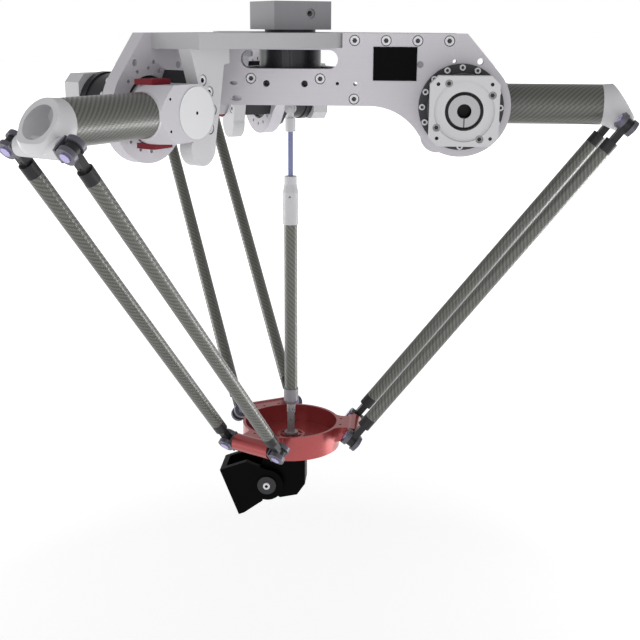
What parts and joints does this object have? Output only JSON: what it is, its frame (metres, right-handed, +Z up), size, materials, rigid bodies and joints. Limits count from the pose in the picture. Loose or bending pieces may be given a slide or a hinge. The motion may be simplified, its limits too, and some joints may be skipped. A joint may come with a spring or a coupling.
{
  "type": "delta robot",
  "caption": "Ceiling-hung delta robot with swing arms, carbon rod pairs, a ring platform, a telescopic drive shaft on its centre line and a tilting tool bracket.",
  "frame": {"origin": "centre of the mounting circle on the top face of the top plate, on the robot's centre line", "axes": "+Z up, away from the platform; +X along the arm of module 1, whose motor faces -Y; modules 2 and 3 are at 240 and 120 degrees about +Z"},
  "size_m": [0.8009, 0.9194, 0.7996],
  "materials": {
    "plate_metal": "satin, faint lilac",
    "screw_steel": "satin",
    "black_label": "matte",
    "stop_black": "matte",
    "cast_white": "satin",
    "gearbox_dark": "satin",
    "hub_steel": "satin",
    "pad_red": "matte",
    "carbon_weave": "clear-coated weave",
    "yoke_grey": "satin",
    "end_black": "black anodised",
    "pin_steel": "satin",
    "platform_red": "red anodised",
    "block_grey": "satin",
    "rod_violet": "violet anodised",
    "tool_black": "black anodised",
    "axle_dark": "satin"
  },
  "bodies": {
    "base": {"top_plate": "plate_metal", "plate_screws": "screw_steel", "name_plate": "black_label", "stop_blocks": "stop_black", "gearbox_screws": "screw_steel", "adapter_screws": "screw_steel", "side_plate_1": "plate_metal", "side_plate_2": "plate_metal", "side_plate_3": "plate_metal", "stop_bracket_1": "cast_white", "stop_bracket_2": "cast_white", "stop_bracket_3": "cast_white", "gearbox_1": "gearbox_dark", "gearbox_2": "gearbox_dark", "gearbox_3": "gearbox_dark", "motor_adapter_1": "cast_white", "motor_adapter_2": "cast_white", "motor_adapter_3": "cast_white", "drive_block": "block_grey", "drive_gearbox": "gearbox_dark"},
    "arm_1": {"arm_hub_1": "cast_white", "hub_cover_1": "cast_white", "stop_pads_1": "pad_red", "arm_tube_1": "carbon_weave", "elbow_housing_1": "cast_white"},
    "rods_1": {"yoke_shafts_1": "yoke_grey", "rods_1": "carbon_weave", "rod_ends_1": "end_black", "rod_pins_1": "pin_steel"},
    "motor_hub_1": {"clamp_hub_1": "hub_steel"},
    "arm_2": {"arm_hub_2": "cast_white", "hub_cover_2": "cast_white", "stop_pads_2": "pad_red", "arm_tube_2": "carbon_weave", "elbow_housing_2": "cast_white"},
    "rods_2": {"yoke_shafts_2": "yoke_grey", "rods_2": "carbon_weave", "rod_ends_2": "end_black", "rod_pins_2": "pin_steel"},
    "motor_hub_2": {"clamp_hub_2": "hub_steel"},
    "arm_3": {"arm_hub_3": "cast_white", "hub_cover_3": "cast_white", "stop_pads_3": "pad_red", "arm_tube_3": "carbon_weave", "elbow_housing_3": "cast_white"},
    "rods_3": {"yoke_shafts_3": "yoke_grey", "rods_3": "carbon_weave", "rod_ends_3": "end_black", "rod_pins_3": "pin_steel"},
    "motor_hub_3": {"clamp_hub_3": "hub_steel"},
    "platform": {"platform": "platform_red", "tilt_housing": "tool_black"},
    "spindle": {"upper_joint": "cast_white", "slide_rod": "rod_violet"},
    "shaft": {"sleeve": "cast_white", "shaft_tube": "carbon_weave", "coupling": "block_grey", "lower_joint": "hub_steel"},
    "tool": {"tool_bracket": "tool_black", "tilt_axle": "axle_dark"}
  },
  "joints": [
    {"name": "arm_1_swing", "type": "hinge", "parent": "base", "child": "arm_1", "pos_m": [0.2468, 0, -0.099], "axis": [0, 1, 0], "range_deg": [-4.9, 28.5]},
    {"name": "arm_2_swing", "type": "hinge", "parent": "base", "child": "arm_2", "pos_m": [-0.1234, -0.21374, -0.099], "axis": [0.866, -0.5, 0], "range_deg": [-5, 28.6]},
    {"name": "arm_3_swing", "type": "hinge", "parent": "base", "child": "arm_3", "pos_m": [-0.1234, 0.21374, -0.099], "axis": [-0.866, -0.5, 0], "range_deg": [-5, 28.6]},
    {"name": "elbow_1", "type": "hinge", "parent": "arm_1", "child": "rods_1", "pos_m": [0.4827, 0, -0.1232], "axis": [0, 1, 0], "range_deg": [-32.64, 5.69]},
    {"name": "elbow_2", "type": "hinge", "parent": "arm_2", "child": "rods_2", "pos_m": [-0.24135, -0.41803, -0.1232], "axis": [0.866, -0.5, 0], "range_deg": [-32.64, 5.69]},
    {"name": "elbow_3", "type": "hinge", "parent": "arm_3", "child": "rods_3", "pos_m": [-0.24135, 0.41803, -0.1232], "axis": [-0.866, -0.5, 0], "range_deg": [-32.64, 5.69]},
    {"name": "motor_hub_1_spin", "type": "hinge", "parent": "base", "child": "motor_hub_1", "pos_m": [0.2468, -0.15, -0.099], "axis": [0, 1, 0], "range_deg": [-79.4, 457]},
    {"name": "motor_hub_2_spin", "type": "hinge", "parent": "base", "child": "motor_hub_2", "pos_m": [-0.2533, -0.13873, -0.099], "axis": [0.866, -0.5, 0], "range_deg": [-79.4, 457]},
    {"name": "motor_hub_3_spin", "type": "hinge", "parent": "base", "child": "motor_hub_3", "pos_m": [0.0065, 0.28874, -0.099], "axis": [-0.866, -0.5, 0], "range_deg": [-79.4, 457]},
    {"name": "platform_drop", "type": "slide", "parent": "base", "child": "platform", "axis": [0, 0, -1], "range_m": [-0.02381, 0.13752]},
    {"name": "tool_tilt", "type": "hinge", "parent": "platform", "child": "tool", "pos_m": [-0.0367, 0, -0.7034], "axis": [0, 1, 0], "range_deg": [-88, 21]},
    {"name": "shaft_spin", "type": "hinge", "parent": "platform", "child": "shaft", "pos_m": [0, 0, -0.6], "axis": [0, 0, 1], "range_deg": [-88.2, 21.2]},
    {"name": "spindle_spin", "type": "hinge", "parent": "base", "child": "spindle", "pos_m": [0, 0, -0.1], "axis": [0, 0, 1], "range_deg": [-88.2, 21.2]}
  ],
  "couplings": [
    {"joint": "arm_2_swing", "follows": "arm_1_swing", "ratio": 1},
    {"joint": "arm_3_swing", "follows": "arm_1_swing", "ratio": 1},
    {"joint": "elbow_1", "follows": "arm_1_swing", "ratio": -1.1418},
    {"joint": "elbow_2", "follows": "arm_1_swing", "ratio": -1.1418},
    {"joint": "elbow_3", "follows": "arm_1_swing", "ratio": -1.1418},
    {"joint": "motor_hub_1_spin", "follows": "arm_1_swing", "ratio": 16},
    {"joint": "motor_hub_2_spin", "follows": "arm_1_swing", "ratio": 16},
    {"joint": "motor_hub_3_spin", "follows": "arm_1_swing", "ratio": 16},
    {"joint": "platform_drop", "follows": "arm_1_swing", "m_per_rad": 0.27606},
    {"joint": "shaft_spin", "follows": "tool_tilt", "ratio": 1},
    {"joint": "spindle_spin", "follows": "tool_tilt", "ratio": 1}
  ]
}
